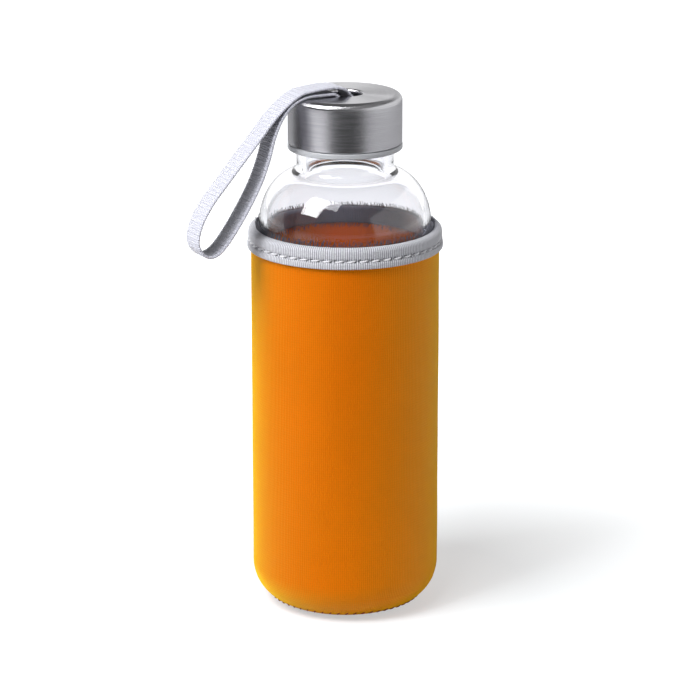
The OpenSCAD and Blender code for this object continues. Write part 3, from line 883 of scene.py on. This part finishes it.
class BOTTLE_OT_glass(bpy.types.Operator):
    """Turn the glass bottle with its thread, heel, punt and rounded rim"""

    bl_idname = "bottle.glass"
    bl_label = "Glass"

    def execute(self, context):
        s = context.scene.bottle_glass
        r, z0, rim = high("glass_bottle").x, low("glass_bottle").z, high("glass_bottle").z
        neck_z = rim - s.neck_length
        shoulder_z = neck_z - s.shoulder
        tuck, lip, ring_round, swell = 2.4, 1.0, 0.5, 1.0
        c, foot = s.neck_radius - tuck, r - s.heel
        hollow = foot - 3
        bore, inner, h, floor_z = s.neck_radius - s.neck_wall, r - s.wall, s.heel - s.wall, z0 + s.floor
        under = s.shoulder - s.wall * 0.95
        top, join, end = fillet(s.neck_radius, (c, shoulder_z), r - c, s.shoulder, s.fillet)
        inside = s.fillet + 1.8
        top_in, join_in, end_in = fillet(bore, (c, shoulder_z), inner - c, under, inside)
        # Outside: the hollow under the floor, the ring it stands on, heel, wall, shoulder, neck and rim
        outline = [(0, z0 + s.punt)]
        outline += bow((0, z0), hollow, s.punt, 84, 8, 14)
        outline += arc((foot - 2.6, z0 + ring_round), ring_round, -120, -90, 3)
        outline += arc((foot, z0 + s.heel), s.heel, -90, 0, 28)
        outline += line((r, z0 + s.heel), (r, shoulder_z), 12)
        outline += bow((c, shoulder_z), r - c, s.shoulder, 0, join, 44)[1:]
        outline += arc((s.neck_radius + s.fillet, top), s.fillet, end, 180, 12)[1:]
        outline += line((s.neck_radius, top), (s.neck_radius, rim - lip), 76)
        outline += arc((s.neck_radius - lip, rim - lip), lip, 0, 90, 8)[1:]
        # Inside: rim, bore, shoulder, wall, heel and the floor, which swells up in its middle
        outline += arc((bore + lip, rim - lip), lip, 90, 180, 8)
        outline += line((bore, rim - lip), (bore, top_in), 12)
        outline += arc((bore + inside, top_in), inside, 180, end_in, 16)[1:]
        outline += bow((c, shoulder_z), inner - c, under, join_in, 0, 40)[1:]
        outline += line((inner, shoulder_z), (inner, floor_z + h), 12)
        outline += arc((inner - h, floor_z + h), h, 0, -90, 22)[1:]
        outline += bow((0, floor_z), hollow, swell, 10, 84, 12)
        outline += [(0, floor_z + swell)]
        turns, run_out, half_bead, flank = 1.5, 9, 0.95, 0.5
        thread_z = rim - 10.4

        def thread(angle, rr, zz):
            """Raise the thread's bead on the neck; it runs out at both ends."""
            on_neck = (rr > s.neck_radius - 0.01) & (rr < s.neck_radius + 0.01) & (zz > top + 1)
            lift = np.zeros_like(rr)
            for k in range(3):
                share = (angle + 2 * math.pi * k) / (2 * math.pi)
                away = np.abs(zz - (thread_z + s.pitch * share))
                fade = np.clip(np.minimum(share, turns - share) * run_out, 0, 1)
                bead = np.clip((half_bead - away) / flank, 0, 1)
                bead = bead * bead * (3 - 2 * bead)
                lift = np.maximum(lift, s.thread * bead * fade * (share <= turns))
            return rr + np.where(on_neck, lift, 0), zz

        made = lathe("bottle_glass", outline, 288, False, thread)
        smooth(made)
        settle(made, soda_lime_glass("soda_lime_glass"), "bottle", "clear_glass", "glass_bottle")
        return {"FINISHED"}


class BOTTLE_OT_cap(bpy.types.Operator):
    """Spin the steel shell and dress the liner, the seal and the bar under it"""

    bl_idname = "bottle.cap"
    bl_label = "Cap"

    def execute(self, context):
        s = context.scene.bottle_cap
        r, top, foot = high("cap_shell").x, high("cap_shell").z, low("cap_shell").z
        e, t, hole, lip, hem = s.edge, s.steel, s.hole, s.lip, 0.18
        # Outside from the foot up to the hole's turned-down lip, then back along the inside
        outline = arc((r - hem, foot + hem), hem, -90, 0, 4)
        outline += line((r, foot + hem), (r, top - e), 10)
        outline += arc((r - e, top - e), e, 0, 90, 22)[1:]
        outline += line((r - e, top), (hole + lip, top), 16)
        outline += arc((hole + lip, top - lip), lip, 90, 180, 12)[1:]
        outline += arc((hole + t / 2, top - lip - 0.2), t / 2, 180, 360, 8)
        outline += arc((hole + lip, top - lip), lip - t, 180, 90, 8)
        outline += line((hole + lip, top - t), (r - e, top - t), 8)
        outline += arc((r - e, top - e), e - t, 90, 0, 12)[1:]
        outline += line((r - t, top - e), (r - t, foot + hem), 4)
        outline += arc((r - t + hem, foot + hem), hem, 180, 270, 4)
        shell = lathe("cap_steel_shell", outline, 256, True)
        smooth(shell)
        steel = brushed_steel("brushed_stainless_steel", s.colour, s.bright, 0.23, 0.94)
        settle(shell, steel, "cap", "cap_steel", "cap_shell")
        crease = 28
        liner = smooth_copy("cap_liner", "cap_plastic_liner", crease)
        plastic = moulded_plastic("moulded_polypropylene", s.liner, 0.32, 0.5, 0.15)
        settle(liner, plastic, "cap", "liner_plastic", "cap_liner")
        ring = smooth_copy("seal_ring", "cap_silicone_seal", crease)
        rubber = moulded_plastic("silicone_rubber", s.seal, 0.5, 0.4, 0.3)
        settle(ring, rubber, "seal", "silicone", "seal_ring")
        rod = smooth_copy("strap_bar", "cap_bar", crease)
        drawn = brushed_steel("drawn_steel_rod", s.bar, s.bright_bar, 0.3, 0.3)
        settle(rod, drawn, "cap", "bar_steel", "strap_bar")
        return {"FINISHED"}


def curve_between(p0, p1, p2, p3, t):
    """One point of a smooth curve between p1 and p2."""
    return (2 * p1 + (p2 - p0) * t + (2 * p0 - 5 * p1 + 4 * p2 - p3) * t * t
            + (3 * p1 - p0 - 3 * p2 + p3) * t ** 3) / 2


def through(points, steps):
    """A smooth curve through all the points."""
    p, last, made = [np.array(q, float) for q in points], len(points) - 1, []
    for i in range(last):
        for k in range(steps):
            made.append(curve_between(p[max(i - 1, 0)], p[i], p[i + 1], p[min(i + 2, last)], k / steps))
    return made + [p[last]]


def webbing_route(edge, leg):
    """Distance from the axis towards -X and height above the cap's top, from the hole round and back."""
    lie = 0.9
    return [
        (-1.2, -1.5), (0, -0.1), (1.2, 1.3), (3.2, 2.5), (6, 3.1), (9.2, 3.2), (edge - 5.5, 2.8),
        (edge - 0.5, 1.9), (edge + 4.5, -1.1), (edge + 10, -5.9), (edge + 15.5, -12), (edge + 22, -19.2),
        (edge + 28.5, -26.4), (edge + 34.5, -33.2), (edge + 38.6, -39.6), (edge + 40.5, -45.6),
        (edge + 39.6, -49.8), (edge + 36.6, -52.4), (edge + 33, -52), (edge + 29.2, -48.8),
        (edge + 24.4, -42.6), (edge + 19.4, -35), (edge + 15.2, -27.4), (edge + 12.2, -19.8),
        (edge + 10, -12.4), (edge + 7.3, -6.6), (edge + 3.9, -2.4), (edge, 0), (edge - 4.5, lie),
        (10, lie), (7.8, lie), (6.2, 0.7), (leg + 2.3, -0.6), (leg + 1.6, -1.8)]


class BOTTLE_OT_webbing(bpy.types.Operator):
    """Sweep the webbing from its sewn end round the loop and back, and sew its tail"""

    bl_idname = "bottle.webbing"
    bl_label = "Webbing loop"

    def execute(self, context):
        s = context.scene.bottle_webbing
        top, edge = high("cap_shell").z, high("cap_shell").x
        leg = high("strap_root").x - s.thickness / 2
        bar = (low("strap_bar").z + high("strap_bar").z) / 2
        foot = low("strap_root").z
        tail, turn_in = s.thickness / 2 + 0.03, 2.0
        bend = math.acos(1 - (leg - tail) / (leg + turn_in))
        knee = bar - (leg + turn_in) * math.sin(bend)
        inside = [(leg + 0.3, bar + 3.6), (leg, bar + 2)] + arc((0, bar), leg, 0, -math.degrees(bend), 8)
        inside += arc((tail + turn_in, knee), turn_in, 180 - math.degrees(bend), 180, 8)
        inside += [(tail, foot)]
        loop = [(-p[0], top + p[1]) for p in through(webbing_route(edge, leg), 8)]
        path = [np.array(p) for p in inside[::-1]] + [np.array(p) for p in loop]
        path += [np.array((-p[0], p[1])) for p in inside]
        points = [(p[0], 0, p[1]) for p in path]
        base = mesh_object("webbing_path", points, [], [(i, i + 1) for i in range(len(points) - 1)])
        cloth = woven_webbing("woven_polyester_webbing", s.colour, s.shade, s.inner, s.pick, s.beat)
        # The ribs stand out by about as much as the ribbon is made smaller here.
        ribs_room = 0.1
        mouth_z = top - 2
        made = grow("webbing_loop", base, webbing_tree("webbing"), {
            "Width": (s.width - ribs_room) * MM, "Thickness": (s.thickness - ribs_room) * MM,
            "Step": 0.2 * MM, "Pick": s.pick * MM, "Beat": s.beat * MM, "Rib": 0.035 * MM,
            "Scallop": 0.05 * MM, "Mouth": (0, 0, mouth_z * MM), "Material": cloth})
        settle(made, cloth, None, "webbing", "strap_root", "strap_loop")
        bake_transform(made)
        rows = smooth_copy("strap_stitches", "webbing_tail_stitches", 40)
        spun = spun_thread("tail_thread", s.thread, s.thread_shade)
        settle(rows, spun, "cap", "binding_thread", "strap_stitches")
        return {"FINISHED"}


def mark_lining(made, heel_centre, heel):
    """Store which side of the neoprene is its lining: the side that doesn't face out of the sleeve."""
    mesh = made.data
    places = np.empty(len(mesh.vertices) * 3, "f")
    normals = np.empty_like(places)
    mesh.vertices.foreach_get("co", places)
    mesh.vertices.foreach_get("normal", normals)
    x, y, z = places.reshape(-1, 3).T / MM
    far = np.maximum(np.hypot(x, y), 1e-6)
    aside, down = np.maximum(far - heel_centre, 0), np.minimum(z - heel, 0)
    facing = (normals.reshape(-1, 3) * np.stack([x / far * aside, y / far * aside, down], 1)).sum(1)
    mesh.attributes.new("lining", "FLOAT", "POINT").data.foreach_set("value", (facing < 0).astype("f"))


class BOTTLE_OT_sleeve(bpy.types.Operator):
    """Shape the neoprene wall and base with their seams"""

    bl_idname = "bottle.sleeve"
    bl_label = "Sleeve"

    def execute(self, context):
        s = context.scene.bottle_sleeve
        r, top = high("sleeve_body").x, high("sleeve_body").z
        heel, t, seam = s.heel, s.thickness, s.seam_radius
        c, inner = r - s.heel, r - s.thickness
        # Under the tape the wall is pressed thinner, and the two edges of the base seam stand a little apart.
        tape_z = low("top_binding").z + 0.4
        pressed, chamfer = 0.65, 0.3
        wall_edge, base_edge = seam + 0.35, seam - 0.25

        def heel_angle(radius, from_centre):
            """Where the round of the heel, this far from its centre, reaches this radius."""
            return math.degrees(math.asin((radius - c) / from_centre)) - 90

        start = heel_angle(wall_edge, heel)
        turn = math.radians(start)
        middle = heel - t / 2
        outline = arc((c, heel), heel, start + 1.5, 0, 40)
        outline += line((r, heel), (r, top), 120)
        outline += [(r - chamfer, top), (inner + pressed + chamfer, top), (inner + pressed, top - chamfer)]
        outline += line((inner + pressed, top - chamfer), (inner + pressed, tape_z), 4)
        outline += [(inner, tape_z - 0.05)]
        outline += line((inner, tape_z - 0.05), (inner, heel), 24)
        outline += arc((c, heel), heel - t, 0, heel_angle(wall_edge, heel - t), 20)[1:]
        outline += [(c + middle * math.cos(turn) - 0.25, heel + middle * math.sin(turn))]
        groove_half, groove_deep, pull_half, pull_deep, binding = 0.35, 0.45, 3, 0.12, 4

        def soft(angle, rr, zz):
            """A hand-made unevenness, and the side seam's groove with a slight pull beside it."""
            out = rr > (inner + r) / 2 + 0.2
            spots = [Vector((math.cos(a) * 1.3, math.sin(a) * 1.3, z / 22)) for a, z in zip(angle, zz)]
            swell = np.array([noise.noise(spot) for spot in spots])
            wrapped = np.minimum(angle, 2 * math.pi - angle) * r
            groove = np.clip(1 - wrapped / groove_half, 0, 1) * groove_deep
            groove = groove + pull_deep * np.clip(1 - wrapped / pull_half, 0, 1)
            groove = np.where((zz > heel) & (zz < top - binding), groove, 0)
            return rr + np.where(out, 0.10 * swell - 0.06 - groove, 0), zz

        wales = round(2 * math.pi * r / s.wale)
        knit = knit_jersey("knit_jersey_on_neoprene", s.colour, s.shade, s.fuzz, s.lining, wales)
        wall = lathe("sleeve_neoprene_wall", outline, 360, True, soft)
        disc = [(0, 0)] + line((0, 0), (c, 0), 6)
        disc += arc((c, heel), heel, -90, heel_angle(base_edge, heel), 10)[1:]
        disc += [(seam, heel - math.sqrt(middle ** 2 - (seam - c) ** 2))]
        disc += arc((c, heel), heel - t, heel_angle(base_edge, heel - t), -90, 8)
        disc += line((c, t), (0, t), 6)
        base = lathe("sleeve_neoprene_base", disc, 240, False)
        for piece, node in ((wall, "sleeve_body"), (base, "sleeve_base")):
            smooth(piece, 50)
            mark_lining(piece, c, heel)
            settle(piece, knit, "sleeve", "neoprene", node)

        thread = spun_thread("seam_thread", s.thread, s.thread_shade)
        count = round(2 * math.pi * seam / s.stitch)
        row = seam + 2.6
        ring = ring_line("base_seam_line", row, heel - math.sqrt(heel ** 2 - (row - c) ** 2), count)
        tree = stitch_tree("base_seam")
        made = grow("base_seam_thread", ring, tree, {
            "Count": count, "Length": 2.2 * MM, "Thread": 0.27 * MM, "Rise": 0.25 * MM,
            "Slant": math.radians(62), "Outward": (1.0, 1.0, -14.0), "Material": thread})
        settle(made, thread, "sleeve", "seam_thread", "base_seam_stitches")
        z0, z1 = low("side_seam_stitches").z, high("side_seam_stitches").z
        rows = int((z1 - z0) / (s.stitch / 2))
        upright = mesh_object("side_seam_line", [(r - 0.25, 0, z0), (r - 0.25, 0, z1)], [], [(0, 1)])
        orange = spun_thread("orange_seam_thread", s.side_thread, s.side_shade)
        made = grow("side_seam_thread", upright, tree, {
            "Count": rows, "Length": 2.6 * MM, "Thread": 0.17 * MM, "Rise": 0.42 * MM,
            "Slant": math.radians(90), "Zigzag": math.radians(64), "Outward": (1.0, 0.0, 0.0),
            "Material": orange})
        settle(made, orange, "sleeve", "seam_thread", "side_seam_stitches")
        return {"FINISHED"}


class BOTTLE_OT_binding(bpy.types.Operator):
    """Fold the ribbed tape over the sleeve's top edge and stitch it"""

    bl_idname = "bottle.binding"
    bl_label = "Binding"

    def execute(self, context):
        s = context.scene.bottle_binding
        foot, top, out = low("top_binding").z, high("top_binding").z, high("top_binding").x
        neo = high("sleeve_body").x
        inner = neo - context.scene.bottle_sleeve.thickness
        roll_out = out - 0.4
        roll = (roll_out - inner) / 2
        roll_z = top - roll
        band_top = foot + 2.5
        gap, tape, under_z = 0.06, 0.58, roll_z - 0.4
        # The flat band outside, from its foot up to the stitched dip
        outline = [(neo + gap, foot + 0.1), (neo + 0.5, foot + 0.02), (out - 0.35, foot)]
        outline += arc((out - 0.4, foot + 0.4), 0.4, -60, 0, 4)
        outline += [(out - 0.02, foot + 0.9), (out - 0.04, foot + 1.4), (out - 0.12, foot + 1.9)]
        outline += [(out - 0.3, band_top - 0.3), (roll_out - 0.16, band_top)]
        outline += [(roll_out - 0.32, band_top + 0.3)]
        # The roll over the edge, down along the glass and back along the tape's inside
        outline += [(roll_out - 0.26, band_top + 0.6), (roll_out - 0.06, band_top + 1.0)]
        outline += [(roll_out + 0.02, band_top + 1.5), (roll_out + 0.03, band_top + 2.1)]
        outline += arc((inner + roll, roll_z), roll, 0, 180, 22)
        outline += line((inner, roll_z), (inner, foot + 0.5), 8)
        outline += [(inner + 0.3, foot + 0.4), (inner + tape, foot + 0.6)]
        outline += line((inner + tape, foot + 0.6), (inner + tape, under_z), 5)
        outline += arc((inner + roll, under_z), roll - 0.6, 180, 0, 8)[1:]
        outline += line((neo + gap, under_z), (neo + gap, foot + 0.4), 5)
        ref = inner - 1
        flat = [(p[0] - ref, -p[1], 0) for p in outline[::-1]]
        edges = [(i, (i + 1) % len(flat)) for i in range(len(flat))]
        base = mesh_object("tape_outline", flat, [], edges)
        cloth = ribbed_tape("ribbed_polyester_tape", s.colour, s.shade, s.inside, s.hole)
        ribs = round(2 * math.pi * roll_out / s.rib)
        count = round(2 * math.pi * roll_out / s.pitch)
        line_z = band_top + 0.3
        made = grow("binding_tape", base, binding_tree("binding"), {
            "Radius": ref * MM, "Segments": ribs * 4, "Ribs": ribs, "Rib": 0.12 * MM, "Holes": count,
            "Hole height": line_z * MM, "Dark below": (top + 0.1) * MM, "Material": cloth})
        outward(made)
        settle(made, cloth, "sleeve", "binding_tape", "top_binding")
        thread = spun_thread("pale_binding_thread", s.thread, s.thread_shade)
        ring = ring_line("binding_seam_line", roll_out - 0.2, line_z, count)
        made = grow("binding_thread", ring, stitch_tree("binding_seam"), {
            "Count": count, "Length": 0.62 * s.pitch * MM, "Thread": 0.3 * MM, "Rise": 0.42 * MM,
            "Slant": math.radians(9), "Material": thread})
        settle(made, thread, "sleeve", "binding_thread", "binding_stitches")
        # Real fibres are finer than a fifth of this, and would not show.
        fibre = 0.09 * MM
        # The loose fibres are coloured dark grey as painted shade.
        fluff = spun_thread("loose_tape_fibre", s.fluff, s.fluff_shade)
        tree = fibre_tree("loose_fibres")
        upper = {
            "Count": 900, "Thread": fibre, "Shortest": 0.8, "Longest": 2.7, "Inward": 0.3, "Outward": 0.15,
            "Lean": 0.55, "Material": fluff}
        lower = {
            "Count": 480, "Thread": fibre, "Shortest": 0.5, "Longest": 2.4, "Inward": 0.0, "Outward": 0.0,
            "Lean": 0.6, "Flip": math.pi, "Material": fluff}
        for name, radius, height, values in (
                ("upper", inner + roll * 0.45, top - roll * 0.2, upper),
                ("lower", inner - 0.1, foot + 0.6, lower)):
            ring = ring_line(f"{name}_fibre_line", radius, height, 360)
            made = grow(f"tape_{name}_fibres", ring, tree, values)
            settle(made, fluff, "sleeve", "binding_tape")
        return {"FINISHED"}


class BOTTLE_PT_panel(bpy.types.Panel):
    """Buttons for every piece of the bottle"""

    bl_idname = "BOTTLE_PT_panel"
    bl_label = "Glass water bottle"
    bl_space_type = "VIEW_3D"
    bl_region_type = "UI"
    bl_category = "Bottle"

    def draw(self, context):
        for operator in OPERATORS:
            self.layout.operator(operator.bl_idname)
        for name, group in SETTINGS.items():
            box = self.layout.box()
            box.label(text=name.replace("_", " "))
            for key in group.__annotations__:
                box.prop(getattr(context.scene, name), key)


SETTINGS = {
    "bottle_stage": StageSettings,
    "bottle_glass": GlassSettings,
    "bottle_cap": CapSettings,
    "bottle_webbing": WebbingSettings,
    "bottle_sleeve": SleeveSettings,
    "bottle_binding": BindingSettings,
}
OPERATORS = [
    BOTTLE_OT_stage, BOTTLE_OT_glass, BOTTLE_OT_cap, BOTTLE_OT_webbing, BOTTLE_OT_sleeve, BOTTLE_OT_binding]


def register():
    for name, group in SETTINGS.items():
        bpy.utils.register_class(group)
        setattr(bpy.types.Scene, name, PointerProperty(type=group))
    for made in OPERATORS + [BOTTLE_PT_panel]:
        bpy.utils.register_class(made)


def unregister():
    for made in reversed(OPERATORS + [BOTTLE_PT_panel]):
        bpy.utils.unregister_class(made)
    for name, group in SETTINGS.items():
        delattr(bpy.types.Scene, name)
        bpy.utils.unregister_class(group)


def main():
    """Build every piece in order."""
    register()
    for name in ("stage", "glass", "cap", "webbing", "sleeve", "binding"):
        getattr(bpy.ops.bottle, name)()


if __name__ == "__main__":
    main()
